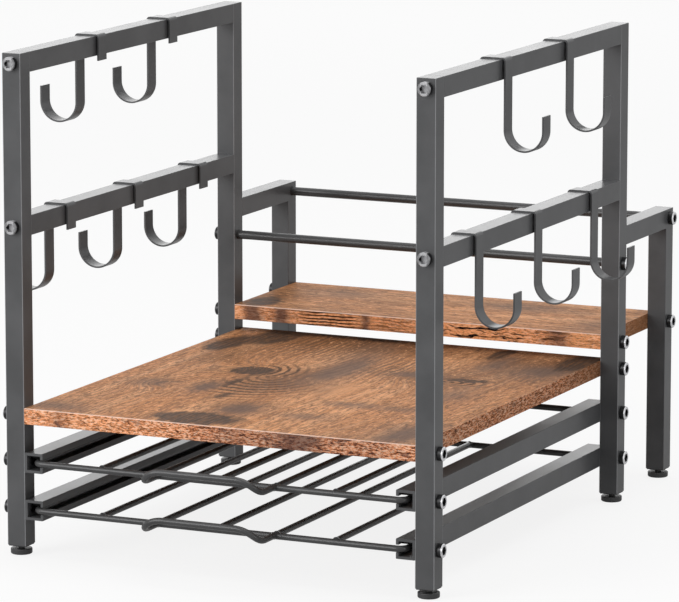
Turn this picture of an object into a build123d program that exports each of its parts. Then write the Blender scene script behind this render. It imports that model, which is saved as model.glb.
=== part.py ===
from build123d import *
import os

# Coffee station organizer: a square-tube stand with two boards, two pull-out
# wire trays and ten sliding J hooks. Sizes are in millimetres. X runs across
# the stand, Y from front to back and Z up, with Z = 0 under the feet.

# Square steel tube
tube = 15.0
tube_wall = 1.2
tube_corner = 0.35
tube_top_round = 0.3

# Stand
stand_width = 346.4
tall_depth = 367.5
total_depth = 467.5
tall_height = 368.0
short_height = 210.0
hook_rail_over_bracket = 37.0

# Levelling feet
pad_diameter = 16.2
pad_height = 4.2
pad_top_round = 0.6
pad_bottom_round = 1.0
pad_gap = 3.0
stem_diameter = 6.0
stem_engagement = 14.0
stem_chamfer = 0.6
stem_clearance = 0.05
plug_height = 16.0
plug_flange = 0.8
plug_flange_inset = 0.5

# Boards
board_thickness = 12.0
board_top_edge = 0.6
board_under_edge = 0.2
main_board_rise = 92.5
rear_shelf_step = 9.0

# Tray channels
channel_size = 15.0
channel_wall = 2.0
channel_corner = 0.6
channel_end_inset = 2.5
lower_channel_rise = 27.9
channel_pitch = 35.7

# Wire trays
frame_wire = 4.8
cross_wire = 4.8
cross_wire_count = 5
cross_wire_pitch = 47.4
cross_wire_lift = 0.6
slot_clearance = 0.5
tray_drop = 0.2
tray_front_inset = 0.5
tray_rear_inset = 12.0
side_wire_inset = 8.5
tray_bend = 6.0

# Tray handles
handle_reach = 30.5
handle_rise = 9.4
handle_width = 94.0
handle_grip = 57.4
handle_arm = 16.3

# Rods
rod_diameter = 7.0
rod_chamfer = 0.4
lower_rod_drop = 21.3
rod_end_inset = 2.0
rod_end_gap = 0.5

# Screws and sleeve nuts
screw_diameter = 6.0
screw_clearance = 0.3
thread_clearance = 0.05
head_diameter = 10.4
head_height = 4.4
head_chamfer = 0.6
socket_flats = 6.0
socket_depth = 3.0
screw_grip = 14.0
screw_stand_out = 1.0
sleeve_diameter = 9.0
sleeve_length = 10.0
rail_plug_length = 18.0

# J hooks
strip_width = 13.0
strip_thickness = 1.3
lip_gap = 1.05
shaft_gap = 1.5
strip_bend = 2.0
lip_drop = 18.7
hook_drop = 67.2
hook_throat = 30.1
tip_height = 27.0
top_hook_offset = 59.0
hook_rail_offset = 110.5

# Derived places
half_width = stand_width / 2
leg_x = half_width - tube / 2
inner_x = half_width - tube
leg_bottom = pad_height + pad_gap
handle_front = handle_reach - tray_front_inset + frame_wire / 2
pad_overhang = (pad_diameter - tube) / 2
front_y = (handle_front - total_depth - pad_overhang) / 2
front_leg_y = front_y + tube / 2
tall_back_y = front_y + tall_depth
tall_leg_y = tall_back_y - tube / 2
back_y = front_y + total_depth
short_leg_y = back_y - tube / 2
rail_y = front_y + tube
rail_length = tall_depth - 2 * tube
rail_middle_y = rail_y + rail_length / 2
top_rail_z = leg_bottom + tall_height - tube / 2
bracket_rail_z = leg_bottom + short_height - tube / 2
hook_rail_z = bracket_rail_z + hook_rail_over_bracket
lower_rod_z = bracket_rail_z - lower_rod_drop
main_board_z = leg_bottom + main_board_rise + board_thickness / 2
rear_shelf_z = main_board_z + board_thickness + rear_shelf_step
lower_channel_z = leg_bottom + lower_channel_rise
upper_channel_z = lower_channel_z + channel_pitch
channel_length = tall_depth - channel_end_inset
screw_hole = screw_diameter / 2 + screw_clearance
thread_hole = screw_diameter / 2 + thread_clearance
sides = {"left": -1, "right": 1}


def side_face(side, y, z, x=half_width):
    """Plane on a face that looks outward along X."""
    return Plane(origin=(side * x, y, z), x_dir=(0, 1, 0), z_dir=(side, 0, 0))


def end_face(direction, x, y, z):
    """Plane on a face that looks along Y, to the front (-1) or back (1)."""
    return Plane(origin=(x, y, z), x_dir=(1, 0, 0), z_dir=(0, direction, 0))


def save(part, label):
    """Name a finished part and write it to its own file."""
    part.label = label
    export_step(part, "parts/" + label + ".step")


def round_cut(plane, radius, depth):
    """Cut a round hole into the part being built, straight down from the plane."""
    with BuildSketch(plane) as outline:
        Circle(radius)
    extrude(outline.sketch, amount=-depth, mode=Mode.SUBTRACT)


def turned(plane, points):
    """Turn a half profile, given as (along the normal, radius), about the plane's normal."""
    with BuildSketch(Plane(origin=plane.origin, x_dir=plane.z_dir, z_dir=plane.x_dir)) as profile:
        with BuildLine():
            Polyline(*points, close=True)
        make_face()
    revolve(profile.sketch, axis=Axis(plane.origin, plane.z_dir))


def socket_cut(plane):
    """Cut the hex socket into a screw head that sits on the plane."""
    with BuildSketch(plane.offset(head_height)) as socket:
        RegularPolygon(socket_flats / 2, 6, major_radius=False)
    extrude(socket.sketch, amount=-socket_depth, mode=Mode.SUBTRACT)


def screw(plane, grip):
    """Add a socket-head screw whose head sits on the plane."""
    head = head_diameter / 2
    turned(plane, [
        (-grip, 0),
        (-grip, screw_diameter / 2),
        (0, screw_diameter / 2),
        (0, head),
        (head_height - head_chamfer, head),
        (head_height, head - head_chamfer),
        (head_height, 0),
    ])
    socket_cut(plane)


def sleeve_nut(plane):
    """Add a socket-head sleeve nut, bored to take the end of a rod."""
    head = head_diameter / 2
    bore = rod_diameter / 2 + thread_clearance
    bore_end = rod_end_gap - rod_end_inset
    turned(plane, [
        (-sleeve_length, bore),
        (-sleeve_length, sleeve_diameter / 2),
        (0, sleeve_diameter / 2),
        (0, head),
        (head_height - head_chamfer, head),
        (head_height, head - head_chamfer),
        (head_height, 0),
        (bore_end, 0),
        (bore_end, bore),
    ])
    socket_cut(plane)


os.makedirs("parts", exist_ok=True)

# Heights and places of everything that is screwed to the stand
channel_zs = {"upper": upper_channel_z, "lower": lower_channel_z}
rail_zs = (top_rail_z, hook_rail_z)
leg_ends = {"front": (front_leg_y, front_y, -1), "rear": (tall_leg_y, tall_back_y, 1)}

# Tall legs: square tube, closed at the top, drilled for the screws
for side_name, side in sides.items():
    for end_name, (leg_y, face_y, direction) in leg_ends.items():
        with BuildPart() as leg:
            with BuildSketch(Plane.XY.offset(leg_bottom)):
                with Locations((side * leg_x, leg_y)):
                    RectangleRounded(tube, tube, tube_corner)
            extrude(amount=tall_height)
            fillet(leg.faces().sort_by(Axis.Z)[-1].edges(), tube_top_round)
            with BuildSketch(Plane.XY.offset(leg_bottom)):
                with Locations((side * leg_x, leg_y)):
                    Rectangle(tube - 2 * tube_wall, tube - 2 * tube_wall)
            extrude(amount=tall_height - tube_wall, mode=Mode.SUBTRACT)
            for z in rail_zs:
                round_cut(end_face(direction, side * leg_x, face_y, z), screw_hole, tube)
            for z in (main_board_z, *channel_zs.values()):
                round_cut(side_face(side, leg_y, z), screw_hole, tube)
            if end_name == "rear":
                round_cut(side_face(side, leg_y, rear_shelf_z), screw_hole, tube)
                round_cut(side_face(side, leg_y, lower_rod_z), rod_diameter / 2 + screw_clearance, tube)
                round_cut(side_face(side, leg_y, lower_rod_z), sleeve_diameter / 2 + screw_clearance, tube / 2)
        save(leg.part, "leg_" + end_name + "_" + side_name)

# Rails that run from the front leg to the rear leg on each side
for side_name, side in sides.items():
    for rail_name, z in (("top_rail", top_rail_z), ("hook_rail", hook_rail_z)):
        with BuildPart() as rail:
            with BuildSketch(end_face(1, side * leg_x, rail_y, z)):
                RectangleRounded(tube, tube, tube_corner)
                Rectangle(tube - 2 * tube_wall, tube - 2 * tube_wall, mode=Mode.SUBTRACT)
            extrude(amount=rail_length)
        save(rail.part, rail_name + "_" + side_name)

# Threaded plugs that close the rail ends and take the leg screws
with BuildPart() as rail_plugs:
    for side in sides.values():
        for z in rail_zs:
            for end_y, direction in ((rail_y, -1), (rail_y + rail_length, 1)):
                with BuildSketch(end_face(direction, side * leg_x, end_y, z)):
                    Rectangle(tube - 2 * tube_wall, tube - 2 * tube_wall)
                    Circle(thread_hole, mode=Mode.SUBTRACT)
                extrude(amount=-rail_plug_length)
save(rail_plugs.part, "rail_plugs")

# Rear brackets: a short leg and the rail that joins it to the tall leg, in one mitred piece
for side_name, side in sides.items():
    corner = (side * leg_x, short_leg_y, bracket_rail_z)
    with BuildPart() as bracket:
        with BuildLine():
            Polyline((side * leg_x, tall_back_y, bracket_rail_z), corner, (side * leg_x, short_leg_y, leg_bottom))
        with BuildSketch(end_face(1, side * leg_x, tall_back_y, bracket_rail_z)):
            RectangleRounded(tube, tube, tube_corner)
        sweep(transition=Transition.RIGHT)
        with BuildSketch(end_face(1, side * leg_x, tall_back_y, bracket_rail_z)):
            Rectangle(tube - 2 * tube_wall, tube - 2 * tube_wall)
        extrude(amount=total_depth - tall_depth - tube_wall, mode=Mode.SUBTRACT)
        with BuildSketch(Plane.XY.offset(leg_bottom)):
            with Locations((side * leg_x, short_leg_y)):
                Rectangle(tube - 2 * tube_wall, tube - 2 * tube_wall)
        extrude(amount=short_height - tube_wall, mode=Mode.SUBTRACT)
        round_cut(side_face(side, short_leg_y, rear_shelf_z), screw_hole, tube)
        round_cut(side_face(side, short_leg_y, bracket_rail_z), rod_diameter / 2 + screw_clearance, tube)
        round_cut(side_face(side, short_leg_y, bracket_rail_z), sleeve_diameter / 2 + screw_clearance, tube / 2)
    save(bracket.part, "rear_bracket_" + side_name)

# Boards between the legs, drilled in their ends
boards = {
    "main_board": (front_y, tall_back_y, main_board_z, (front_leg_y, tall_leg_y)),
    "rear_shelf": (tall_back_y - tube, back_y, rear_shelf_z, (tall_leg_y, short_leg_y)),
}
for board_name, (board_front, board_back, board_z, screw_ys) in boards.items():
    with BuildPart() as board:
        with BuildSketch(Plane.XY.offset(board_z - board_thickness / 2)):
            with Locations((0, (board_front + board_back) / 2)):
                Rectangle(2 * inner_x, board_back - board_front)
        extrude(amount=board_thickness)
        chamfer(board.edges().filter_by(Axis.X).group_by(Axis.Z)[-1], board_top_edge)
        chamfer(board.edges().filter_by(Axis.X).group_by(Axis.Z)[0], board_under_edge)
        for side in sides.values():
            for y in screw_ys:
                round_cut(side_face(side, y, board_z, inner_x), thread_hole, screw_grip + screw_stand_out)
    save(board.part, board_name)

# Lipped channels that guide the trays, open to the middle of the stand
channel_slot = frame_wire + 2 * slot_clearance
for side_name, side in sides.items():
    for level, z in channel_zs.items():
        channel_x = inner_x - channel_size / 2
        with BuildPart() as channel:
            with BuildSketch(end_face(1, side * channel_x, front_y, z)):
                RectangleRounded(channel_size, channel_size, channel_corner)
                Rectangle(channel_size - 2 * channel_wall, channel_size - 2 * channel_wall, mode=Mode.SUBTRACT)
                with Locations((-side * channel_size / 2, 0)):
                    Rectangle(channel_size, channel_slot, mode=Mode.SUBTRACT)
            extrude(amount=channel_length)
            for y in (front_leg_y, tall_leg_y):
                round_cut(side_face(side, y, z, inner_x), thread_hole, channel_wall)
        save(channel.part, "channel_" + level + "_" + side_name)

# Rods across the back, one between the tall legs and one between the brackets
rods = {"lower_rod": (tall_leg_y, lower_rod_z), "upper_rod": (short_leg_y, bracket_rail_z)}
for rod_name, (y, z) in rods.items():
    with BuildPart() as rod:
        with BuildSketch(side_face(1, y, z, half_width - rod_end_inset)):
            Circle(rod_diameter / 2)
        extrude(amount=-(stand_width - 2 * rod_end_inset))
        chamfer(rod.edges().filter_by(GeomType.CIRCLE), rod_chamfer)
    save(rod.part, rod_name)

with BuildPart() as rod_nuts:
    for side in sides.values():
        for y, z in rods.values():
            sleeve_nut(side_face(side, y, z))
save(rod_nuts.part, "rod_nuts")

# Screws: rails, channels and boards
with BuildPart() as rail_screws:
    for side in sides.values():
        for z in rail_zs:
            for leg_y, face_y, direction in leg_ends.values():
                screw(end_face(direction, side * leg_x, face_y, z), tube + screw_grip)
save(rail_screws.part, "rail_screws")

with BuildPart() as channel_screws:
    for side in sides.values():
        for z in channel_zs.values():
            for y in (front_leg_y, tall_leg_y):
                screw(side_face(side, y, z), tube + channel_wall + screw_stand_out)
save(channel_screws.part, "channel_screws")

for board_name, (board_front, board_back, board_z, screw_ys) in boards.items():
    with BuildPart() as board_screws:
        for side in sides.values():
            for y in screw_ys:
                screw(side_face(side, y, board_z), tube + screw_grip)
    save(board_screws.part, board_name + "_screws")

# Levelling feet: plugs in the leg ends, threaded stems and pads
feet = {}
for side_name, side in sides.items():
    feet["front_" + side_name] = (side * leg_x, front_leg_y)
    feet["middle_" + side_name] = (side * leg_x, tall_leg_y)
    feet["rear_" + side_name] = (side * leg_x, short_leg_y)

flange_size = tube - 2 * plug_flange_inset
with BuildPart() as foot_plugs:
    for x, y in feet.values():
        with BuildSketch(Plane.XY.offset(leg_bottom)):
            with Locations((x, y)):
                Rectangle(tube - 2 * tube_wall, tube - 2 * tube_wall)
        extrude(amount=plug_height)
        with BuildSketch(Plane.XY.offset(leg_bottom - plug_flange)):
            with Locations((x, y)):
                RectangleRounded(flange_size, flange_size, tube_corner)
        extrude(amount=plug_flange)
        with BuildSketch(Plane.XY.offset(leg_bottom - plug_flange)):
            with Locations((x, y)):
                Circle(stem_diameter / 2 + stem_clearance)
        extrude(amount=plug_flange + plug_height, mode=Mode.SUBTRACT)
save(foot_plugs.part, "foot_plugs")

for foot_name, (x, y) in feet.items():
    with BuildPart() as pad:
        with BuildSketch(Plane.XY):
            with Locations((x, y)):
                Circle(pad_diameter / 2)
        extrude(amount=pad_height)
        fillet(pad.edges().group_by(Axis.Z)[-1], pad_top_round)
        fillet(pad.edges().group_by(Axis.Z)[0], pad_bottom_round)
    save(pad.part, "foot_pad_" + foot_name)
    with BuildPart() as stem:
        with BuildSketch(Plane.XY.offset(pad_height)):
            with Locations((x, y)):
                Circle(stem_diameter / 2)
        extrude(amount=pad_gap + stem_engagement)
        chamfer(stem.edges().group_by(Axis.Z)[-1], stem_chamfer)
    save(stem.part, "foot_stem_" + foot_name)

# Wire trays: a bent frame wire, wires across it and a bent pull
tray_x = inner_x - side_wire_inset
tray_front_y = front_y + tray_front_inset
tray_back_y = tall_back_y - tray_rear_inset
wire = frame_wire / 2
for level, channel_z in channel_zs.items():
    z = channel_z - tray_drop
    upper_z = z + cross_wire_lift
    with BuildPart() as tray_frame:
        with BuildLine():
            loop = FilletPolyline(
                (-tray_x, tray_front_y, z),
                (tray_x, tray_front_y, z),
                (tray_x, tray_back_y, z),
                (-tray_x, tray_back_y, z),
                radius=tray_bend,
                close=True,
            )
        with BuildSketch(Plane(origin=loop @ 0, z_dir=loop % 0)):
            Circle(wire)
        sweep()
    save(tray_frame.part, "tray_" + level + "_frame")

    with BuildPart() as cross_wires:
        for index in range(cross_wire_count):
            x = (index - (cross_wire_count - 1) / 2) * cross_wire_pitch
            with BuildSketch(end_face(1, x, tray_front_y + wire, upper_z)):
                Circle(cross_wire / 2)
            extrude(amount=tray_back_y - tray_front_y - frame_wire)
    save(cross_wires.part, "tray_" + level + "_cross_wires")

    arm_x = handle_width / 2
    grip_y = tray_front_y - handle_reach
    with BuildPart() as handle:
        with BuildLine():
            arm = Line((arm_x, tray_front_y - wire, upper_z), (arm_x, tray_front_y - handle_arm, upper_z))
            bend = Spline(
                arm @ 1,
                (handle_grip / 2, grip_y, upper_z + handle_rise),
                tangents=((0, -1, 0), (-1, 0, 0)),
            )
            grip = Line(bend @ 1, (-handle_grip / 2, grip_y, upper_z + handle_rise))
            far_bend = Spline(
                grip @ 1,
                (-arm_x, tray_front_y - handle_arm, upper_z),
                tangents=((-1, 0, 0), (0, 1, 0)),
            )
            Line(far_bend @ 1, (-arm_x, tray_front_y - wire, upper_z))
        with BuildSketch(end_face(-1, arm_x, tray_front_y - wire, upper_z)):
            Circle(wire)
        sweep()
    save(handle.part, "tray_" + level + "_handle")

# J hooks: a flat strip bent over the rail and down into an outward J
hook_places = {
    "top": (top_rail_z, {"front": -top_hook_offset, "rear": top_hook_offset}),
    "rail": (hook_rail_z, {"front": -hook_rail_offset, "middle": 0, "rear": hook_rail_offset}),
}
lip_x = tube / 2 + lip_gap + strip_thickness / 2
shaft_x = tube / 2 + shaft_gap + strip_thickness / 2
tip_x = shaft_x + hook_throat
for side_name, side in sides.items():
    for rail_name, (rail_z, offsets) in hook_places.items():
        for place, offset in offsets.items():
            rail_top = rail_z + tube / 2
            bridge_z = rail_top + strip_thickness / 2
            arc_z = rail_top - hook_drop + strip_thickness / 2 + hook_throat / 2
            tip_z = rail_top - hook_drop + tip_height
            hook_y = rail_middle_y + offset + strip_width / 2
            with BuildPart() as hook:
                with BuildSketch(end_face(-1, side * leg_x, hook_y, 0)):
                    with BuildLine() as strip:
                        FilletPolyline(
                            (-side * lip_x, rail_top - lip_drop),
                            (-side * lip_x, bridge_z),
                            (side * shaft_x, bridge_z),
                            (side * shaft_x, arc_z),
                            radius=strip_bend,
                        )
                        ThreePointArc(
                            (side * shaft_x, arc_z),
                            (side * (shaft_x + hook_throat / 2), arc_z - hook_throat / 2),
                            (side * tip_x, arc_z),
                        )
                        Line((side * tip_x, arc_z), (side * tip_x, tip_z))
                    trace(line_width=strip_thickness)
                extrude(amount=strip_width)
            save(hook.part, "hook_" + rail_name + "_" + place + "_" + side_name)
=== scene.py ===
import math

import bpy
from mathutils import Euler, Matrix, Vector


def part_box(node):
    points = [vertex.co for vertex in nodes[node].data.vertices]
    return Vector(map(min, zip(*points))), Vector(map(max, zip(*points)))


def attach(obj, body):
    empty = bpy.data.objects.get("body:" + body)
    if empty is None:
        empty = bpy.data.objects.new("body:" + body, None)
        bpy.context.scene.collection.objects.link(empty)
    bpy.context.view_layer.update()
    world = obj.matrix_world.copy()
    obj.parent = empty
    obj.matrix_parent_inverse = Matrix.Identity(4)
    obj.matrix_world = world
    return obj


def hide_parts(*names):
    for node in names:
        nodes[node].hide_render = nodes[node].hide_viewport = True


bl_info = {
    "name": "Coffee Station Organizer",
    "version": (1, 0, 0),
    "blender": (4, 5, 0),
    "location": "3D View > Sidebar > Organizer",
    "description": "Finishes, small pieces and studio for a square-tube coffee station organizer",
    "category": "Add Mesh",
}

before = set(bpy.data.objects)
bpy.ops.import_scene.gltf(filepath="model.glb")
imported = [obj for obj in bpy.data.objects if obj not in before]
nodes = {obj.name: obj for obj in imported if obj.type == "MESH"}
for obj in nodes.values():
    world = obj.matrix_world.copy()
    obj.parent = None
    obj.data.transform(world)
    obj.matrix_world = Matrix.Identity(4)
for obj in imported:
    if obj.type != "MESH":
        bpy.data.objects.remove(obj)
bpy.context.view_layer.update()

board_low, board_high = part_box("main_board")
shelf_low, shelf_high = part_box("rear_shelf")
leg_low, leg_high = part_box("leg_front_right")
leg_axis = (leg_high.x + leg_low.x) / 2
foot_places = [
    end + "_" + side for end in ("front", "middle", "rear") for side in ("left", "right")]
tray_levels = ("upper", "lower")
side_rails = ("hook_rail_left", "hook_rail_right")

# Widths of the bands that the finishes mark; all but the board edge depth are painted highlights or
# painted light
corner_highlight_width = 0.00045
board_highlight_width = 0.0006
board_edge_depth = 0.0003
screw_rim_depth = 0.00062
socket_radius = 0.0026

# Spacings of the lines on the boards
line_pitch = 0.0050
ring_pitch = 0.0078
edge_line_pitch = 0.0026


class Signal:
    """What one node of a finish gives out. Arithmetic on it adds Math nodes."""

    def __init__(self, finish, socket):
        self.finish = finish
        self.socket = socket

    def maths(self, operation, *values):
        return self.finish.node("ShaderNodeMath", {"operation": operation}, dict(enumerate(values)))

    def __add__(self, other):
        return self.maths("ADD", self, other)

    def __radd__(self, other):
        return self.maths("ADD", other, self)

    def __sub__(self, other):
        return self.maths("SUBTRACT", self, other)

    def __rsub__(self, other):
        return self.maths("SUBTRACT", other, self)

    def __mul__(self, other):
        return self.maths("MULTIPLY", self, other)

    def __rmul__(self, other):
        return self.maths("MULTIPLY", other, self)

    def __truediv__(self, other):
        return self.maths("DIVIDE", self, other)

    def __pow__(self, other):
        return self.maths("POWER", self, other)

    def __rpow__(self, other):
        return self.maths("POWER", other, self)

    def __neg__(self):
        return self.maths("MULTIPLY", self, -1.0)

    def __abs__(self):
        return self.maths("ABSOLUTE", self)

    def __gt__(self, other):
        return self.maths("GREATER_THAN", self, other)

    def __lt__(self, other):
        return self.maths("LESS_THAN", self, other)

    def at_most(self, most=1.0):
        return self.maths("MINIMUM", self, most)

    def at_least(self, least):
        return self.maths("MAXIMUM", self, least)

    def wave(self):
        """A sine between 0 and 1."""
        return 0.5 + 0.5 * self.maths("SINE", self)

    def rise(self, low, high):
        """0 below low, 1 above high and a smooth step between them."""
        settings = {"interpolation_type": "SMOOTHSTEP"}
        inputs = {"Value": self, "From Min": low, "From Max": high}
        return self.finish.node("ShaderNodeMapRange", settings, inputs)


class Finish:
    """A procedural material under construction."""

    def __init__(self, name):
        self.material = bpy.data.materials.new(name)
        self.material.use_nodes = True
        self.tree = self.material.node_tree
        self.tree.nodes.clear()
        self.place = self.node("ShaderNodeTexCoord", output="Object")
        self.axes = self.node("ShaderNodeSeparateXYZ", inputs={0: self.place})

    def node(self, kind, settings=None, inputs=None, output=0):
        """Add a node, give it its settings, then fill or link its sockets."""
        made = self.tree.nodes.new(kind)
        for name, value in (settings or {}).items():
            if name == "stops":
                for index, (position, colour) in enumerate(value):
                    ramp = made.color_ramp.elements
                    stop = ramp[index] if index < 2 else ramp.new(position)
                    stop.position = position
                    stop.color = (*colour, 1.0)
            else:
                setattr(made, name, value)
        for name, value in (inputs or {}).items():
            if isinstance(value, Signal):
                self.tree.links.new(value.socket, made.inputs[name])
            else:
                made.inputs[name].default_value = value
        return Signal(self, made.outputs[output]) if made.outputs else None

    def axis(self, index):
        """The X, Y or Z of the point on the piece, in metres."""
        return Signal(self, self.axes.socket.node.outputs[index])

    def point(self, x, y, z):
        return self.node("ShaderNodeCombineXYZ", inputs={0: x, 1: y, 2: z})

    def stretched(self, scale):
        """The point on the piece, scaled along each axis."""
        return self.node("ShaderNodeMapping", inputs={"Vector": self.place, "Scale": scale})

    def noise(self, vector, scale, detail, roughness):
        inputs = {"Vector": vector, "Scale": scale, "Detail": detail, "Roughness": roughness}
        return self.node("ShaderNodeTexNoise", inputs=inputs)

    def ramp(self, value, stops):
        return self.node("ShaderNodeValToRGB", {"stops": stops}, {0: value})

    def mix(self, first, second, share):
        """Blend two colours. Plain colours are given as three numbers."""
        inputs = {
            0: share,
            6: first if isinstance(first, Signal) else (*first, 1.0),
            7: second if isinstance(second, Signal) else (*second, 1.0),
        }
        return self.node("ShaderNodeMix", {"data_type": "RGBA"}, inputs, 2)

    def bump(self, height, distance, strength):
        inputs = {"Height": height, "Distance": distance, "Strength": strength}
        return self.node("ShaderNodeBump", inputs=inputs)

    def surface(self, **inputs):
        """Close the material with the main shader. Underscores in the names stand for spaces."""
        named = {name.replace("_", " "): value for name, value in inputs.items()}
        if not isinstance(named["Base Color"], Signal):
            named["Base Color"] = (*named["Base Color"], 1.0)
        shader = self.node("ShaderNodeBsdfPrincipled", inputs=named)
        self.node("ShaderNodeOutputMaterial", inputs={"Surface": shader})
        return self.material


class OrganizerColours(bpy.types.PropertyGroup):
    """Colours of the finishes."""

    coat: bpy.props.FloatVectorProperty(
        name="Powder coat", description="Colour of the tubes, channels and hooks",
        subtype="COLOR", default=(0.090, 0.091, 0.094), min=0.0, max=1.0)
    wire: bpy.props.FloatVectorProperty(
        name="Wire coat", description="Colour of the tray wires and the rods",
        subtype="COLOR", default=(0.056, 0.056, 0.057), min=0.0, max=1.0)
    board_warm: bpy.props.FloatVectorProperty(
        name="Board, warm", description="Main colour of the boards",
        subtype="COLOR", default=(0.56, 0.250, 0.108), min=0.0, max=1.0)
    board_pale: bpy.props.FloatVectorProperty(
        name="Board, pale", description="Lightest grain of the boards",
        subtype="COLOR", default=(0.74, 0.375, 0.185), min=0.0, max=1.0)
    board_dark: bpy.props.FloatVectorProperty(
        name="Board, dark", description="Smoky patches and knots of the boards",
        subtype="COLOR", default=(0.050, 0.034, 0.026), min=0.0, max=1.0)
    steel: bpy.props.FloatVectorProperty(
        name="Screws", description="Blackened steel of the screw heads",
        subtype="COLOR", default=(0.020, 0.020, 0.021), min=0.0, max=1.0)
    # Colour of the painted highlights on the screw rims and of the painted light in the sockets
    steel_highlight: bpy.props.FloatVectorProperty(
        name="Rim highlights", description="Bright rims of the screw heads",
        subtype="COLOR", default=(0.72, 0.72, 0.74), min=0.0, max=1.0)
    plastic: bpy.props.FloatVectorProperty(
        name="Plastic", description="Colour of the foot pads and tube plugs",
        subtype="COLOR", default=(0.03, 0.03, 0.031), min=0.0, max=1.0)


class OrganizerSizes(bpy.types.PropertyGroup):
    """Sizes of the small pieces."""

    thread_pitch: bpy.props.FloatProperty(
        name="Thread pitch", description="Rise of the foot thread in one turn",
        unit="LENGTH", default=0.001, min=0.0005, max=0.002, precision=5)
    thread_depth: bpy.props.FloatProperty(
        name="Thread depth", description="Depth of the foot thread",
        unit="LENGTH", default=0.00055, min=0.0001, max=0.001, precision=5)
    weld_length: bpy.props.FloatProperty(
        name="Weld length", description="Length of the weld collar at each wire end",
        unit="LENGTH", default=0.0022, min=0.0005, max=0.004, precision=5)
    weld_swell: bpy.props.FloatProperty(
        name="Weld swell", description="How far a weld collar stands out from its wire",
        unit="LENGTH", default=0.00045, min=0.0001, max=0.001, precision=5)
    channel_wall: bpy.props.FloatProperty(
        name="Channel wall", description="Wall of the tray channels",
        unit="LENGTH", default=0.002, min=0.001, max=0.003, precision=5)
    # Sizes of the dark strips that stand in for the shade inside the tray channels
    shading_clearance: bpy.props.FloatProperty(
        name="Shading clearance", description="Gap between a tray wire and the glide strip over it",
        unit="LENGTH", default=0.0006, min=0.0003, max=0.002, precision=5)
    shading_set_back: bpy.props.FloatProperty(
        name="Shading set back", description="Distance of the glide strips from the channel ends",
        unit="LENGTH", default=0.005, min=0.0, max=0.01, precision=5)
    shading_screw_gap: bpy.props.FloatProperty(
        name="Shading screw gap", description="Room beside the glide strips for the screw tips",
        unit="LENGTH", default=0.002, min=0.0, max=0.004, precision=5)


class OrganizerStudio(bpy.types.PropertyGroup):
    """Camera, floor and lamps."""

    camera_place: bpy.props.FloatVectorProperty(
        name="Camera", description="Place of the camera",
        subtype="TRANSLATION", unit="LENGTH", default=(1.51062, -3.25250, 0.80772))
    camera_azimuth: bpy.props.FloatProperty(
        name="Azimuth", description="Turn of the camera about the vertical",
        subtype="ANGLE", default=math.radians(24.95))
    camera_elevation: bpy.props.FloatProperty(
        name="Elevation", description="How far the camera looks down",
        subtype="ANGLE", default=math.radians(10.10))
    focal_length: bpy.props.FloatProperty(
        name="Focal length", description="Focal length in millimetres", default=253.01, min=20.0)
    floor_size: bpy.props.FloatProperty(
        name="Floor", description="Width of the floor", unit="LENGTH", default=30.0)
    floor_white: bpy.props.FloatProperty(
        name="Floor white", description="Share of the floor that shows as plain white",
        subtype="FACTOR", default=0.85, min=0.0, max=1.0)
    world_light: bpy.props.FloatProperty(
        name="World light", description="Strength of the light from all round",
        default=0.38, min=0.0)
    key_power: bpy.props.FloatProperty(
        name="Key lamp", description="Power of the lamp at the front left",
        unit="POWER", default=62.0, min=0.0)
    top_power: bpy.props.FloatProperty(
        name="Top lamp", description="Power of the lamp overhead",
        unit="POWER", default=30.0, min=0.0)
    rear_power: bpy.props.FloatProperty(
        name="Rear lamp", description="Power of the lamp behind",
        unit="POWER", default=20.0, min=0.0)
    edge_power: bpy.props.FloatProperty(
        name="Edge lamp", description="Power of the narrow lamp at the right",
        unit="POWER", default=6.0, min=0.0)


# Finishes that a later step needs again
finishes = {}


def give(names, finish):
    """Put a finish on CAD nodes."""
    for name in names:
        slots = nodes[name].data.materials
        slots.clear()
        slots.append(finish)


def named(*starts):
    """The CAD nodes whose names start in one of these ways, in order."""
    return [name for name in sorted(nodes) if name.startswith(starts)]


def scaled(colour, share):
    return tuple(share * c for c in colour)


def painted_corner_highlight(f):
    """1 within a hair of the upright corners of the legs, where a painted highlight goes."""
    tube = leg_high.x - leg_low.x
    reach = tube / 2 - corner_highlight_width
    beside = abs(abs(f.axis(0)) - leg_axis) > reach
    rows = 0.0
    for name in ("leg_front_right", "leg_rear_right"):
        low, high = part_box(name)
        away = abs(f.axis(1) - (low.y + high.y) / 2)
        rows = (away > reach) * (away < tube * 2 / 3) + rows
    return beside * rows


def coat_finish(name, colour, grain, roughness, index, painted_highlight=None):
    """Satin powder coat: fine orange peel over faint clouds of tone."""
    f = Finish(name)
    speck = f.noise(f.place, grain, 3.0, 0.6)
    cloud = f.noise(f.place, 26.0, 3.0, 0.55)
    tone = f.mix(scaled(colour, 0.88), scaled(colour, 1.12), cloud.rise(0.3, 0.7))
    tone = f.mix(tone, scaled(colour, 1.5), 0.35 * speck.rise(0.56, 0.72))
    tone = f.mix(tone, scaled(colour, 0.6), 0.35 * (1.0 - speck.rise(0.30, 0.44)))
    # A painted highlight along the edges that the given mask picks out
    if painted_highlight:
        tone = f.mix(tone, scaled(colour, 3.2), painted_highlight(f) * (0.7 + 0.6 * cloud))
    return f.surface(
        Base_Color=tone,
        Roughness=roughness + 0.10 * (cloud - 0.5) + 0.05 * (speck - 0.5),
        IOR=index,
        Normal=f.bump(speck, 0.00004, 0.35),
    )


class ORGANIZER_OT_coat_tubes(bpy.types.Operator):
    """Coat the legs, rails and rear brackets"""

    bl_idname = "organizer.coat_tubes"
    bl_label = "Coat the square tubes"

    def execute(self, context):
        colours = context.scene.organizer_colours
        tubes = coat_finish("tube powder coat", colours.coat, 2400.0, 0.30, 1.32)
        give(named("top_rail_", *side_rails, "rear_bracket_"), tubes)
        # The legs get a painted highlight along their upright corners
        legs = coat_finish("leg powder coat", colours.coat, 2400.0, 0.30, 1.32, painted_corner_highlight)
        give(named("leg_"), legs)
        return {"FINISHED"}


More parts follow.
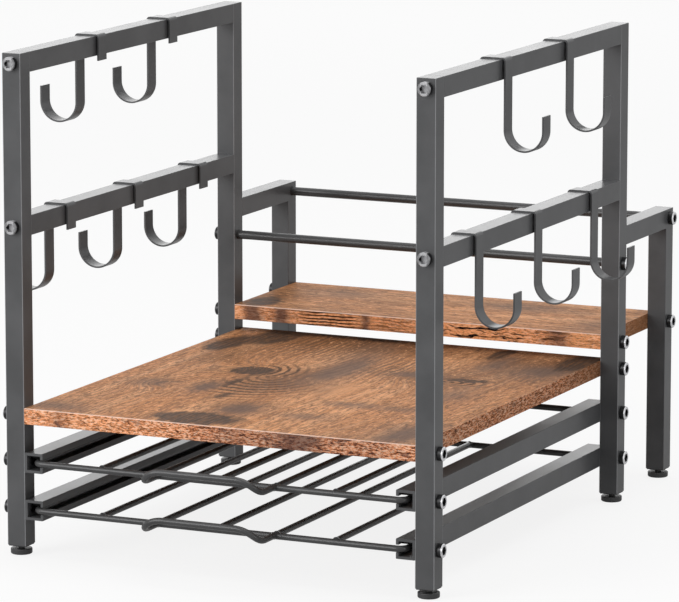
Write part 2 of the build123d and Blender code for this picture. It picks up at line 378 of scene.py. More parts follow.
class ORGANIZER_OT_coat_channels(bpy.types.Operator):
    """Coat the lipped channels that guide the trays"""

    bl_idname = "organizer.coat_channels"
    bl_label = "Coat the tray channels"

    def execute(self, context):
        colours = context.scene.organizer_colours
        finish = coat_finish("channel powder coat", colours.coat, 2100.0, 0.32, 1.32)
        give(named("channel_upper", "channel_lower"), finish)
        return {"FINISHED"}


class ORGANIZER_OT_coat_hooks(bpy.types.Operator):
    """Coat the ten J hooks"""

    bl_idname = "organizer.coat_hooks"
    bl_label = "Coat the J hooks"

    def execute(self, context):
        colours = context.scene.organizer_colours
        hooks = [name for name in named("hook_") if name not in side_rails]
        give(hooks, coat_finish("hook powder coat", colours.coat, 2700.0, 0.30, 1.32))
        return {"FINISHED"}


class ORGANIZER_OT_coat_wires(bpy.types.Operator):
    """Coat the tray wires, the pulls and the two rods"""

    bl_idname = "organizer.coat_wires"
    bl_label = "Coat the wires and rods"

    def execute(self, context):
        colours = context.scene.organizer_colours
        wire = coat_finish("wire powder coat", colours.wire, 3000.0, 0.27, 1.40)
        finishes["wire"] = wire
        give(named("tray_", "lower_rod", "upper_rod"), wire)
        return {"FINISHED"}


def spot(x, y, place_x, place_y, reach_x, reach_y):
    """1 at the spot's middle, falling off smoothly over its reach each way."""
    return math.e ** -(((x - place_x) / reach_x) ** 2.0 + ((y - place_y) / reach_y) ** 2.0)


def stripe(x, place, reach):
    """1 along a line across the board's edge, falling off smoothly over its reach."""
    return math.e ** -(((x - place) / reach) ** 2.0)


def total(marks):
    """The sum of a list of signals, or 0 for an empty list."""
    result = 0.0
    for mark in marks:
        result = mark + result
    return result


def spots(x, y, marks):
    """The sum of spots, each given as its strength and its place."""
    return total(strength * spot(x, y, *place) for strength, place in marks)


def stripes(x, marks):
    """The sum of stripes, each given as its strength, its place and its reach."""
    return total(strength * stripe(x, place, reach) for strength, place, reach in marks)


def stained(colours, warm, dark):
    """A dark brown from shares of the boards' warm and dark colours."""
    return tuple(warm * w + dark * d for w, d in zip(colours.board_warm, colours.board_dark))


def board_top(f, colours, marks, seed):
    """Colour of a board's flat faces: fine lines, flecks, knots, smoke and soot."""
    along = f.axis(marks["grain_axis"])
    across = f.axis(1 - marks["grain_axis"])
    x, y = f.axis(0), f.axis(1)
    drift = f.noise(f.point(across * 14.0, along * 5.0, seed), 1.0, 3.0, 0.5) - 0.5
    ragged = f.noise(f.point(across * 150.0, along * 80.0, seed + 1.0), 1.0, 4.0, 0.65) - 0.5
    rough_x = x + 0.012 * ragged
    rough_y = y + 0.024 * ragged + 0.012 * drift
    rings = across + 0.024 * drift + spots(x, y, marks["swirls"])
    grain = f.noise(f.point(rings * 260.0, along * 14.0, seed), 1.0, 2.0, 0.5)
    lines = (rings * (math.tau / line_pitch) + 7.0 * grain).wave()
    hair = f.noise(f.point(rings * 560.0, along * 60.0, seed + 2.0), 1.0, 3.0, 0.6)
    bands = f.noise(f.point(rings * 70.0, along * 4.0, seed + 4.0), 1.0, 3.0, 0.55)
    fleck = f.noise(f.point(across * 400.0, along * 165.0, seed + 6.0), 1.0, 3.0, 0.7)
    chip = f.noise(f.point(across * 230.0, along * 75.0, seed + 8.0), 1.0, 3.0, 0.65)
    cloud = f.noise(f.point(across * 16.0, along * 9.0, seed + 12.0), 1.0, 4.0, 0.6)

    clear = total(spot(rough_x, rough_y, *place) for place in marks["clear"])
    strong = total(spot(x, y, *place) for place in marks["lined"])
    toast = total(spot(rough_x, rough_y, *place) for place in marks["toasted"])
    curled = 0.0
    arcs = 0.0
    for heart_x, heart_y, squash, place in marks["arcs"]:
        bend = 0.016 * drift + 0.003 * ragged
        off_x, off_y = x + bend - heart_x, y + bend - heart_y
        away = (off_x ** 2.0 + (squash * off_y) ** 2.0) ** 0.5
        ripple = (away * (math.tau / ring_pitch) + 3.0 * grain).wave()
        here = spot(x, y, *place)
        curled = here + curled
        arcs = here * (1.0 - ripple.rise(0.10, 0.55)) + arcs
    calm = 1.0 - 0.7 * clear - 0.6 * curled
    straight = (1.0 - curled).at_least(0.0) if marks["arcs"] else 1.0

    brown = stained(colours, 0.34, 0.2)
    deep = stained(colours, 0.12, 0.4)
    tone = f.mix(colours.board_pale, colours.board_warm, bands.rise(0.36, 0.58))
    tone = f.mix(tone, brown, 0.45 * cloud.rise(0.50, 0.72))
    tone = f.mix(tone, brown, (0.62 * toast).at_most(0.75))
    lined = straight * calm * (0.18 + 0.66 * strong)
    tone = f.mix(tone, deep, lined * (1.0 - lines.rise(0.10, 0.60)))
    tone = f.mix(tone, deep, 1.5 * arcs)
    tone = f.mix(tone, brown, calm * 0.60 * (1.0 - hair.rise(0.40, 0.50)))
    tone = f.mix(tone, deep, calm * 0.72 * (1.0 - fleck.rise(0.34, 0.44)))
    tone = f.mix(tone, scaled(colours.board_pale, 1.3), calm * 0.65 * fleck.rise(0.57, 0.68))
    tone = f.mix(tone, brown, calm * 0.55 * (1.0 - chip.rise(0.36, 0.46)))
    haze = spots(rough_x, rough_y, marks["haze"])
    haze = haze * (0.7 + 0.9 * cloud) + 0.40 * cloud.rise(0.60, 0.80)
    smoke = f.mix((0.150, 0.100, 0.080), deep, 0.55 * (1.0 - lines.rise(0.1, 0.7)))
    tone = f.mix(tone, smoke, 0.82 * haze.at_most())
    soot = (spots(rough_x, rough_y, marks["soot"]) + 0.35 * (cloud - 0.5)).rise(0.22, 0.60)
    ash = 0.40 * hair.rise(0.48, 0.62) + 0.30 * fleck.rise(0.52, 0.66)
    char = f.mix(colours.board_dark, brown, ash)
    tone = f.mix(tone, char, 0.92 * soot)
    return tone, lines, hair


def board_rim(f, colours, marks, seed):
    """Colour of a board's cut edges: orange chips, dark flecks, blots and long cracks."""
    run = f.axis(0) + f.axis(1)
    height = f.axis(2)
    sway = f.noise(f.point(run * 30.0, height * 60.0, seed), 1.0, 3.0, 0.6) - 0.5
    chips = f.noise(f.point(run * 210.0, height * 860.0, seed + 1.0), 1.0, 3.0, 0.75)
    grit = f.noise(f.point(run * 330.0, height * 1100.0, seed + 2.0), 1.0, 2.0, 0.7)
    wavy_height = height + 0.012 * sway
    crack = f.noise(f.point(run * 36.0, wavy_height * 420.0, seed + 3.0), 1.0, 3.0, 0.65)
    blot = f.noise(f.point(run * 60.0, height * 130.0, seed + 4.0), 1.0, 4.0, 0.65)
    along = f.axis(0) + 0.006 * sway

    red, green, blue = colours.board_warm
    rim = f.ramp(chips, [
        (0.40, (0.090, 0.026, 0.014)),
        (0.45, (0.85 * red, 0.68 * green, 0.62 * blue)),
        (0.49, (1.55 * red, 1.22 * green, 1.22 * blue)),
        (0.54, (1.0, 0.43, 0.21)),
        (0.60, (1.0, 0.65, 0.46)),
    ])
    fine = marks["flecked"]
    rim = f.mix(rim, (1.0, 0.44, 0.19), stripes(along, marks["glow"]).at_most())
    rim = f.mix(rim, (0.045, 0.018, 0.012), fine * 0.85 * (1.0 - grit.rise(0.37, 0.44)))
    rim = f.mix(rim, (1.0, 0.72, 0.54), fine * 0.80 * grit.rise(0.59, 0.66))
    stain = stripes(along, marks["blots"]) * (0.2 + 1.6 * blot) + 0.65 * blot.rise(0.56, 0.68)
    rim = f.mix(rim, (0.085, 0.046, 0.042), 0.80 * stain.at_most())
    if marks["ruled"]:
        ruler = ((height + 0.004 * sway) * (math.tau / edge_line_pitch)).wave()
        ruled = stripes(f.axis(0), marks["ruled"]) * (1.0 - ruler.rise(0.16, 0.46))
        rim = f.mix(rim, (0.026, 0.011, 0.008), ruled.at_most())
    split = marks["split"] + total(stripe(f.axis(0), *place) for place in marks["cracked"])
    return f.mix(rim, (0.012, 0.007, 0.006), (split * (1.0 - crack.rise(0.42, 0.47))).at_most())


def board_finish(name, low, high, marks, seed):
    """Rustic board: wavy grain round its knots, smoky patches and busier cut edges, with a painted
    highlight along the top of the long edges and painted shade on the end faces.
    """
    colours = bpy.context.scene.organizer_colours
    f = Finish(name)
    tone, lines, hair = board_top(f, colours, marks, seed)
    rim = board_rim(f, colours, marks, seed)
    outward = abs(f.axis(1) - (low.y + high.y) / 2)
    half_depth = (high.y - low.y) / 2
    long_edge = outward > half_depth - board_edge_depth
    side_edge = abs(f.axis(0)) > high.x - board_edge_depth
    # Painted shade on the end faces of the board, darker towards the rear
    shade = 0.30 + 0.45 * (f.axis(1) / high.y).rise(0.2, 0.9)
    rim = f.mix(rim, stained(colours, 0.30, 0.2), side_edge * shade)
    tone = f.mix(tone, rim, long_edge.at_least(side_edge))
    # A painted highlight along the top of both long edges, as if lit from above
    painted_highlight = (outward > half_depth - board_highlight_width) * (f.axis(2) > high.z - board_highlight_width)
    tone = f.mix(tone, (0.95, 0.70, 0.58), painted_highlight * (0.45 + 0.5 * hair))
    return f.surface(
        Base_Color=tone,
        Roughness=0.58 + 0.12 * (lines - 0.5),
        Specular_IOR_Level=0.04,
        Normal=f.bump(0.6 * lines + 0.4 * hair, 0.00012, 0.5),
    )


# Marks on the flat faces: swirls, haze and soot are (strength, place), clear, lined and toasted
# only a place, and arcs are (x and y of the rings' heart, squash, place). A place is
# (x, y, reach in x, reach in y). Marks on the long edges: glow, blots and ruled are
# (strength, x, reach), and cracked is (x, reach).
class ORGANIZER_OT_finish_boards(bpy.types.Operator):
    """Give both boards their rustic brown finish"""

    bl_idname = "organizer.finish_boards"
    bl_label = "Finish the boards"

    def execute(self, context):
        main_marks = {
            "grain_axis": 1,
            "swirls": (
                (0.022, (-0.042, -0.030, 0.030, 0.040)),
                (-0.034, (-0.078, -0.018, 0.022, 0.028)),
                (0.030, (0.075, 0.006, 0.026, 0.018)),
                (0.018, (-0.118, -0.088, 0.018, 0.020)),
            ),
            "clear": ((0.024, -0.056, 0.022, 0.032),),
            "arcs": (
                (-0.070, -0.014, 0.9, (-0.052, -0.006, 0.024, 0.022)),
                (-0.045, -0.030, 0.8, (-0.040, -0.072, 0.032, 0.040)),
                (0.086, 0.008, 1.6, (0.086, 0.008, 0.030, 0.018)),
            ),
            "lined": (
                (-0.062, 0.105, 0.052, 0.052),
                (0.026, 0.040, 0.020, 0.050),
                (0.085, 0.010, 0.030, 0.026),
                (-0.118, -0.080, 0.020, 0.024),
            ),
            "toasted": (
                (-0.070, 0.118, 0.075, 0.062),
                (-0.118, 0.030, 0.018, 0.044),
                (0.010, 0.130, 0.070, 0.030),
                (0.120, 0.090, 0.050, 0.066),
                (-0.012, -0.150, 0.022, 0.024),
                (-0.040, -0.050, 0.030, 0.050),
                (0.060, 0.020, 0.040, 0.030),
            ),
            "haze": (
                (1.10, (-0.008, 0.020, 0.017, 0.052)),
                (0.70, (-0.117, -0.087, 0.020, 0.016)),
                (1.10, (-0.074, -0.087, 0.009, 0.021)),
                (0.20, (-0.044, -0.078, 0.028, 0.022)),
                (1.00, (-0.012, -0.152, 0.018, 0.022)),
                (0.85, (0.133, 0.070, 0.028, 0.034)),
                (1.00, (0.090, 0.090, 0.014, 0.036)),
                (0.90, (0.049, 0.022, 0.022, 0.012)),
                (0.75, (0.056, -0.105, 0.022, 0.010)),
                (0.65, (0.098, -0.106, 0.018, 0.010)),
                (0.75, (0.042, -0.158, 0.020, 0.012)),
                (0.95, (0.138, -0.185, 0.020, 0.036)),
                (0.80, (-0.138, -0.199, 0.028, 0.016)),
                (0.60, (0.110, -0.040, 0.016, 0.034)),
                (0.40, (-0.020, 0.100, 0.024, 0.040)),
            ),
            "soot": (
                (1.05, (-0.070, -0.015, 0.019, 0.015)),
                (0.62, (-0.062, -0.062, 0.006, 0.026)),
                (0.55, (-0.046, -0.112, 0.009, 0.016)),
                (1.10, (-0.026, -0.196, 0.036, 0.021)),
                (1.00, (-0.112, 0.126, 0.017, 0.040)),
                (1.00, (-0.138, 0.078, 0.012, 0.034)),
                (0.80, (-0.060, 0.146, 0.060, 0.010)),
                (0.80, (0.078, 0.124, 0.009, 0.028)),
                (0.80, (0.099, 0.018, 0.021, 0.007)),
                (0.90, (0.148, 0.122, 0.018, 0.040)),
            ),
            "glow": ((0.35, -0.110, 0.070),),
            "blots": (
                (0.50, 0.020, 0.040),
                (1.00, 0.068, 0.018),
                (0.50, -0.128, 0.008),
                (0.45, 0.120, 0.030),
            ),
            "ruled": (),
            "cracked": (),
            "split": 0.12,
            "flecked": 1.0,
        }
        give(["main_board"], board_finish("main board", board_low, board_high, main_marks, 3.7))
        edge = shelf_low.y
        shelf_marks = {
            "grain_axis": 0,
            "swirls": ((0.018, (0.010, edge + 0.050, 0.040, 0.016)),),
            "clear": (),
            "arcs": (),
            "lined": ((-0.140, edge + 0.030, 0.024, 0.040),),
            "toasted": ((-0.150, edge + 0.050, 0.030, 0.050), (0.060, edge + 0.085, 0.060, 0.020)),
            "haze": (
                (0.50, (-0.095, edge + 0.080, 0.030, 0.020)),
                (0.60, (0.056, edge + 0.085, 0.034, 0.018)),
                (0.50, (0.140, edge + 0.030, 0.020, 0.024)),
            ),
            "soot": ((0.95, (-0.142, edge + 0.022, 0.014, 0.022)),),
            "glow": (
                (0.70, -0.070, 0.060),
                (0.75, 0.050, 0.070),
                (0.65, 0.140, 0.024),
                (0.50, -0.150, 0.020),
            ),
            "blots": (
                (1.20, -0.142, 0.009),
                (1.20, -0.116, 0.006),
                (1.10, -0.043, 0.004),
                (0.80, 0.122, 0.010),
            ),
            "ruled": ((1.30, -0.086, 0.013), (1.30, -0.062, 0.013), (0.55, -0.020, 0.020)),
            "cracked": ((0.050, 0.026), (0.090, 0.030)),
            "split": 0.32,
            "flecked": 0.60,
        }
        give(["rear_shelf"], board_finish("rear shelf", shelf_low, shelf_high, shelf_marks, 11.3))
        return {"FINISHED"}


def screw_finish(name, colours, rim, socket=None):
    """Blackened steel with a painted highlight, as bright bare steel, where rim says so, and
    painted light, grey and not metallic, in its sockets.
    """
    f = Finish(name)
    turned = f.noise(f.place, 1400.0, 3.0, 0.6)
    rust = f.noise(f.place, 320.0, 3.0, 0.6)
    # A painted highlight on the head rims, as bright bare steel
    rim_highlight = rim(f) * (0.75 + 0.25 * turned.rise(0.3, 0.6))
    tone = f.mix(colours.steel, scaled(colours.steel, 1.5), rust.rise(0.35, 0.65))
    # Painted light on the socket floors: a grey tone without metal where the sockets fall in shade
    floor = socket(f) * (1.0 - rim_highlight) if socket else 0.0
    tone = f.mix(tone, scaled(colours.steel_highlight, 0.6), floor)
    return f.surface(
        Base_Color=f.mix(tone, colours.steel_highlight, rim_highlight),
        Metallic=(0.65 + 0.3 * rim_highlight) * (1.0 - floor),
        Roughness=0.34 + 0.14 * (turned - 0.5) - 0.06 * rim_highlight,
        Normal=f.bump(turned, 0.00003, 0.4),
    )


class ORGANIZER_OT_finish_screws(bpy.types.Operator):
    """Blacken the screws and sleeve nuts, and paint highlights on their rims"""

    bl_idname = "organizer.finish_screws"
    bl_label = "Finish the screws"

    def execute(self, context):
        colours = context.scene.organizer_colours
        head_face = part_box("channel_screws")[1].x - screw_rim_depth
        side = screw_finish("side screw steel", colours, lambda f: abs(f.axis(0)) > head_face)
        give(["channel_screws", "main_board_screws", "rear_shelf_screws", "rod_nuts"], side)
        low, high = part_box("rail_screws")
        middle, reach = (low.y + high.y) / 2, (high.y - low.y) / 2 - screw_rim_depth
        # The rail screws get a weaker painted rim highlight, and painted light in their hex sockets
        ends = screw_finish(
            "rail screw steel", colours,
            lambda f: 0.28 * (abs(f.axis(1) - middle) > reach),
            lambda f: abs(abs(f.axis(0)) - leg_axis) < socket_radius)
        give(["rail_screws"], ends)
        return {"FINISHED"}


def plastic_finish(name, colour, roughness, shine=0.5):
    """Moulded plastic with a fine spark grain."""
    f = Finish(name)
    grain = f.noise(f.place, 1900.0, 3.0, 0.6)
    cloud = f.noise(f.place, 60.0, 3.0, 0.5)
    return f.surface(
        Base_Color=f.mix(scaled(colour, 0.8), scaled(colour, 1.25), cloud.rise(0.3, 0.7)),
        Roughness=roughness + 0.12 * (grain - 0.5),
        Specular_IOR_Level=shine,
        Normal=f.bump(grain, 0.00006, 0.5),
    )


class ORGANIZER_OT_finish_plastic(bpy.types.Operator):
    """Finish the foot pads and the plugs in the tube ends"""

    bl_idname = "organizer.finish_plastic"
    bl_label = "Finish the feet and plugs"

    def execute(self, context):
        colours = context.scene.organizer_colours
        give(named("foot_pad_"), plastic_finish("foot plastic", colours.plastic, 0.48))
        plugs = plastic_finish("plug plastic", scaled(colours.plastic, 0.7), 0.58)
        give(["foot_plugs", "rail_plugs"], plugs)
        return {"FINISHED"}


def clear_selection():
    """Leave edit mode and select nothing."""
    if bpy.context.object and bpy.context.object.mode != "OBJECT":
        bpy.ops.object.mode_set(mode="OBJECT")
    bpy.ops.object.select_all(action="DESELECT")


def select_where(test):
    """In edit mode, select only the vertices whose place passes the test."""
    bpy.ops.object.mode_set(mode="OBJECT")
    mesh = bpy.context.object.data
    for part in (mesh.polygons, mesh.edges):
        for item in part:
            item.select = False
    for vertex in mesh.vertices:
        vertex.select = test(vertex.co)
    bpy.ops.object.mode_set(mode="EDIT")
    bpy.ops.mesh.select_mode(type="VERT")


def settle(piece):
    """Leave a piece's place in its mesh, with its object at the origin."""
    clear_selection()
    piece.select_set(True)
    bpy.context.view_layer.objects.active = piece
    bpy.ops.object.transform_apply(location=True, rotation=True, scale=True)


def copy_of(piece, name, step):
    """A copy with a mesh of its own, moved by step."""
    twin = piece.copy()
    twin.data = piece.data.copy()
    twin.name = name
    bpy.context.scene.collection.objects.link(twin)
    twin.location = step
    settle(twin)
    return twin


class ORGANIZER_OT_thread_feet(bpy.types.Operator):
    """Cut the threads of the six foot stems"""

    bl_idname = "organizer.thread_feet"
    bl_label = "Thread the foot stems"

    def execute(self, context):
        sizes = context.scene.organizer_sizes
        low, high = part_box("foot_stem_front_left")
        length = high.z - low.z
        root = (high.x - low.x) / 2 - sizes.thread_depth
        pitch = sizes.thread_pitch
        facets = 24

        clear_selection()
        bpy.ops.mesh.primitive_circle_add(
            vertices=4, radius=pitch / 2, rotation=(math.pi / 2, 0.0, 0.0))
        ridge = context.object
        bpy.ops.object.transform_apply(location=False, rotation=True, scale=False)
        bpy.ops.object.mode_set(mode="EDIT")
        select_where(lambda co: co.x < -pitch / 4)
        bpy.ops.mesh.delete(type="VERT")
        bpy.ops.mesh.select_all(action="SELECT")
        bpy.ops.transform.resize(value=(sizes.thread_depth / (pitch / 2), 1.0, 1.0))
        bpy.ops.transform.translate(value=(root, 0.0, pitch / 2))
        bpy.ops.object.mode_set(mode="OBJECT")
        screw = ridge.modifiers.new("thread", "SCREW")
        screw.axis = "Z"
        screw.angle = math.tau
        screw.screw_offset = pitch
        screw.iterations = int((length - pitch) / pitch)
        screw.steps = facets
        screw.render_steps = facets
        screw.use_merge_vertices = True
        screw.merge_threshold = pitch / 50
        bpy.ops.object.modifier_apply(modifier=screw.name)

        bpy.ops.mesh.primitive_cylinder_add(vertices=facets, radius=root, depth=length)
        rod = context.object
        rod.location.z = length / 2
        bpy.ops.object.transform_apply(location=True, rotation=False, scale=False)
        bpy.ops.object.mode_set(mode="EDIT")
        select_where(lambda co: co.z > length / 2)
        bpy.ops.mesh.bevel(offset=0.0004, segments=2, affect="EDGES")
        bpy.ops.object.mode_set(mode="OBJECT")
        ridge.select_set(True)
        context.view_layer.objects.active = rod
        bpy.ops.object.join()
        bpy.ops.object.mode_set(mode="EDIT")
        bpy.ops.mesh.select_all(action="SELECT")
        bpy.ops.mesh.normals_make_consistent(inside=False)
        bpy.ops.object.mode_set(mode="OBJECT")
        bpy.ops.object.shade_smooth_by_angle(angle=math.radians(30))

        f = Finish("thread steel")
        streak = f.noise(f.stretched((900.0, 900.0, 2600.0)), 1.0, 3.0, 0.6)
        oil = f.noise(f.place, 240.0, 3.0, 0.5)
        thread = f.surface(
            Base_Color=f.mix((0.02, 0.02, 0.021), (0.085, 0.083, 0.08), streak.rise(0.35, 0.7)),
            Metallic=0.8,
            Roughness=0.32 + 0.2 * oil,
            Normal=f.bump(streak, 0.00002, 0.4),
        )
        rod.data.materials.append(thread)
        for place in foot_places:
            low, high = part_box("foot_stem_" + place)
            centre = (low + high) / 2
            twin = copy_of(rod, "foot_thread_" + place, (centre.x, centre.y, low.z))
            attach(twin, "foot_" + place)
            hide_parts("foot_stem_" + place)
        bpy.data.objects.remove(rod)
        return {"FINISHED"}


class ORGANIZER_OT_line_channels(bpy.types.Operator):
    """Fit a black strip under the roof of each tray channel, a dark sheet that stands in for the
    shade inside the channel
    """

    bl_idname = "organizer.line_channels"
    bl_label = "Line the tray channels"

    def execute(self, context):
        sizes = context.scene.organizer_sizes
        wall = sizes.channel_wall
        groove_inset, groove_depth, edge_round = 0.0016, 0.0005, 0.00025
        # Near-black and barely shiny, so that the channel looks shaded inside
        colour = scaled(context.scene.organizer_colours.plastic, 0.3)
        shading = plastic_finish("glide plastic", colour, 0.62, 0.1)
        for level in tray_levels:
            low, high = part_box("channel_" + level + "_left")
            top = high.z - wall
            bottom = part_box("tray_" + level + "_frame")[1].z + sizes.shading_clearance
            inner, outer = high.x - wall, low.x + wall + sizes.shading_screw_gap
            front, back = low.y + sizes.shading_set_back, high.y - sizes.shading_set_back
            clear_selection()
            middle = ((inner + outer) / 2, (front + back) / 2, (top + bottom) / 2)
            bpy.ops.mesh.primitive_cube_add(size=1.0, location=middle)
            strip = context.object
            strip.scale = (inner - outer, back - front, top - bottom)
            bpy.ops.object.transform_apply(location=True, rotation=True, scale=True)
            bpy.ops.object.mode_set(mode="EDIT")
            select_where(lambda co: co.z < (top + bottom) / 2)
            bpy.ops.mesh.select_mode(type="FACE")
            bpy.ops.mesh.inset(thickness=groove_inset)
            bpy.ops.transform.translate(value=(0.0, 0.0, groove_depth))
            bpy.ops.object.mode_set(mode="OBJECT")
            bevel = strip.modifiers.new("soft edges", "BEVEL")
            bevel.width = edge_round
            bevel.segments = 2
            bevel.limit_method = "ANGLE"
            bpy.ops.object.modifier_apply(modifier=bevel.name)
            bpy.ops.object.shade_smooth_by_angle(angle=math.radians(35))
            strip.data.materials.append(shading)
            strip.name = "channel_glide_" + level + "_left"
            settle(strip)
            twin = copy_of(strip, "channel_glide_" + level + "_right", (0.0, 0.0, 0.0))
            twin.scale.x = -1.0
            settle(twin)
            bpy.ops.object.mode_set(mode="EDIT")
            bpy.ops.mesh.select_all(action="SELECT")
            bpy.ops.mesh.normals_make_consistent(inside=False)
            bpy.ops.object.mode_set(mode="OBJECT")
            for piece in (strip, twin):
                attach(piece, "frame")
        return {"FINISHED"}


class ORGANIZER_OT_weld_trays(bpy.types.Operator):
    """Weld the cross wires and pulls to the tray frames"""

    bl_idname = "organizer.weld_trays"
    bl_label = "Weld the trays"

    def collar(self, context, radius):
        """A flared weld collar that narrows towards +Y, with its wide end at the origin."""
        sizes = context.scene.organizer_sizes
        length, wide = sizes.weld_length, radius + sizes.weld_swell
        clear_selection()
        bpy.ops.mesh.primitive_cylinder_add(
            vertices=24, radius=wide, depth=length,
            rotation=(math.pi / 2, 0.0, 0.0), location=(0.0, length / 2, 0.0))
        collar = context.object
        bpy.ops.object.transform_apply(location=True, rotation=True, scale=False)
        bpy.ops.object.mode_set(mode="EDIT")
        bpy.ops.mesh.select_all(action="SELECT")
        bpy.ops.mesh.bisect(plane_co=(0.0, length * 0.35, 0.0), plane_no=(0.0, 1.0, 0.0))
        select_where(lambda co: co.y > length * 0.9)
        narrow = (radius + 0.00004) / wide
        bpy.ops.transform.resize(value=(narrow, 1.0, narrow))
        select_where(lambda co: 0.2 < co.y / length < 0.5)
        slim = (radius + 0.45 * sizes.weld_swell) / wide
        bpy.ops.transform.resize(value=(slim, 1.0, slim))
        bpy.ops.mesh.select_all(action="SELECT")
        bpy.ops.mesh.normals_make_consistent(inside=False)
        bpy.ops.object.mode_set(mode="OBJECT")
        bpy.ops.object.shade_smooth_by_angle(angle=math.radians(50))
        return collar

    def execute(self, context):
        cross_wire_count = 5
        lift = 0.0002
        for level in tray_levels:
            low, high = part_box("tray_" + level + "_frame")
            cross_low, cross_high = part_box("tray_" + level + "_cross_wires")
            pull_low, pull_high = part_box("tray_" + level + "_handle")
            frame_radius = (high.z - low.z) / 2
            cross_z = (cross_low.z + cross_high.z) / 2
            pull_z = pull_low.z + frame_radius
            cross_radius = (cross_high.z - cross_low.z) / 2
            cross_end = cross_high.x - cross_radius
            pull_end = pull_high.x - frame_radius
            joints = []
            for index in range(cross_wire_count):
                x = cross_end * (2 * index / (cross_wire_count - 1) - 1)
                joints.append((cross_radius, (x, cross_low.y - lift, cross_z), 0.0))
                joints.append((cross_radius, (x, cross_high.y + lift, cross_z), math.pi))
            for x in (-pull_end, pull_end):
                joints.append((frame_radius, (x, pull_high.y + lift, pull_z), math.pi))
            collars = []
            for radius, place, turn in joints:
                collar = self.collar(context, radius)
                collar.rotation_euler = (0.0, 0.0, turn)
                collar.location = place
                settle(collar)
                collars.append(collar)
            clear_selection()
            for collar in collars:
                collar.select_set(True)
            context.view_layer.objects.active = collars[0]
            bpy.ops.object.join()
            welds = context.object
            welds.name = "tray_" + level + "_welds"
            settle(welds)
            welds.data.materials.clear()
            welds.data.materials.append(finishes["wire"])
            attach(welds, "tray_" + level)
        return {"FINISHED"}


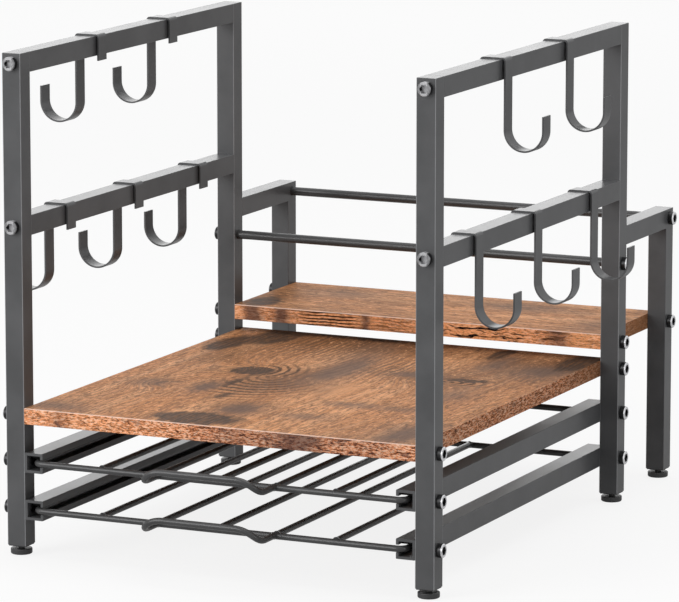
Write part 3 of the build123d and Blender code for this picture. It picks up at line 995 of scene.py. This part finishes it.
class ORGANIZER_OT_set_stage(bpy.types.Operator):
    """Set up the floor, the lamps and the camera"""

    bl_idname = "organizer.set_stage"
    bl_label = "Set the stage"

    def execute(self, context):
        studio = context.scene.organizer_studio
        clear_selection()
        bpy.ops.mesh.primitive_plane_add(size=studio.floor_size, location=(0.0, 0.0, -0.0004))
        floor = context.object
        floor.name = "floor"
        f = Finish("pale floor")
        seen = f.node("ShaderNodeLightPath", output="Is Camera Ray")
        mirrored = f.node("ShaderNodeLightPath", output="Is Glossy Ray")
        clear = f.node("ShaderNodeLightPath", output="Is Transmission Ray")
        white = f.mix((0.62, 0.62, 0.62), (0.86, 0.86, 0.86), seen)
        diffuse = f.node("ShaderNodeBsdfDiffuse", inputs={"Color": white})
        glow = f.node("ShaderNodeEmission", inputs={"Color": (1.0, 1.0, 1.0, 1.0), "Strength": 1.0})
        share = studio.floor_white * seen + 0.3 * mirrored + 0.8 * clear
        lit = f.node("ShaderNodeMixShader", inputs={0: share, 1: diffuse, 2: glow})
        f.node("ShaderNodeOutputMaterial", inputs={"Surface": lit})
        floor.data.materials.append(f.material)

        world = bpy.data.worlds.new("studio")
        context.scene.world = world
        world.use_nodes = True
        tree = world.node_tree
        tree.nodes.clear()
        path = tree.nodes.new("ShaderNodeLightPath")
        shown = None
        for ray in ("Is Camera Ray", "Is Glossy Ray", "Is Transmission Ray"):
            if shown is None:
                shown = path.outputs[ray]
                continue
            either = tree.nodes.new("ShaderNodeMath")
            either.operation = "MAXIMUM"
            tree.links.new(shown, either.inputs[0])
            tree.links.new(path.outputs[ray], either.inputs[1])
            shown = either.outputs[0]
        blend = tree.nodes.new("ShaderNodeMixShader")
        tree.links.new(shown, blend.inputs[0])
        for socket, strength in ((1, studio.world_light), (2, 1.0)):
            background = tree.nodes.new("ShaderNodeBackground")
            background.inputs["Color"].default_value = (1.0, 1.0, 1.0, 1.0)
            background.inputs["Strength"].default_value = strength
            tree.links.new(background.outputs[0], blend.inputs[socket])
        out = tree.nodes.new("ShaderNodeOutputWorld")
        tree.links.new(blend.outputs[0], out.inputs["Surface"])

        lamps = (
            ("key lamp", (-1.7, -2.6, 1.3), (2.0, 2.0), studio.key_power),
            ("top lamp", (0.2, 0.3, 2.6), (2.0, 2.0), studio.top_power),
            ("rear lamp", (-1.4, 3.4, 1.3), (3.0, 1.6), studio.rear_power),
            ("edge lamp", (2.4, -1.05, 0.4), (0.12, 1.6), studio.edge_power),
        )
        target = Vector((0.0, 0.0, 0.18))
        for name, place, (width, height), power in lamps:
            bpy.ops.object.light_add(type="AREA", location=place)
            lamp = context.object
            lamp.name = name
            lamp.data.shape = "RECTANGLE"
            lamp.data.size = width
            lamp.data.size_y = height
            lamp.data.energy = power
            lamp.rotation_euler = (Vector(place) - target).to_track_quat("Z", "Y").to_euler()

        bpy.ops.object.camera_add(location=studio.camera_place)
        camera = context.object
        camera.name = "camera"
        tilt = math.pi / 2 - studio.camera_elevation
        camera.rotation_euler = Euler((tilt, 0.0, studio.camera_azimuth))
        camera.data.sensor_width = 36.0
        camera.data.sensor_fit = "HORIZONTAL"
        camera.data.lens = studio.focal_length
        camera.data.clip_start = 0.1
        camera.data.clip_end = 100.0
        context.scene.camera = camera
        context.scene.view_settings.view_transform = "Standard"
        return {"FINISHED"}


operators = (
    ORGANIZER_OT_coat_tubes,
    ORGANIZER_OT_coat_channels,
    ORGANIZER_OT_coat_hooks,
    ORGANIZER_OT_coat_wires,
    ORGANIZER_OT_finish_boards,
    ORGANIZER_OT_finish_screws,
    ORGANIZER_OT_finish_plastic,
    ORGANIZER_OT_thread_feet,
    ORGANIZER_OT_line_channels,
    ORGANIZER_OT_weld_trays,
    ORGANIZER_OT_set_stage,
)


class ORGANIZER_PT_panel(bpy.types.Panel):
    """Lists the settings and the steps"""

    bl_idname = "ORGANIZER_PT_panel"
    bl_label = "Coffee station organizer"
    bl_space_type = "VIEW_3D"
    bl_region_type = "UI"
    bl_category = "Organizer"

    def draw(self, context):
        layout = self.layout
        for group_name in ("organizer_colours", "organizer_sizes", "organizer_studio"):
            group = getattr(context.scene, group_name)
            box = layout.box()
            for key in group.bl_rna.properties.keys():
                if key not in ("name", "rna_type"):
                    box.prop(group, key)
        for operator in operators:
            layout.operator(operator.bl_idname)


groups = {
    "organizer_colours": OrganizerColours,
    "organizer_sizes": OrganizerSizes,
    "organizer_studio": OrganizerStudio,
}


def register():
    for cls in (*groups.values(), *operators, ORGANIZER_PT_panel):
        bpy.utils.register_class(cls)
    for name, group in groups.items():
        setattr(bpy.types.Scene, name, bpy.props.PointerProperty(type=group))


def unregister():
    for name in groups:
        delattr(bpy.types.Scene, name)
    for cls in reversed((*groups.values(), *operators, ORGANIZER_PT_panel)):
        bpy.utils.unregister_class(cls)


def main():
    register()
    for operator in operators:
        family, step = operator.bl_idname.split(".")
        getattr(getattr(bpy.ops, family), step)()


if __name__ == "__main__":
    main()
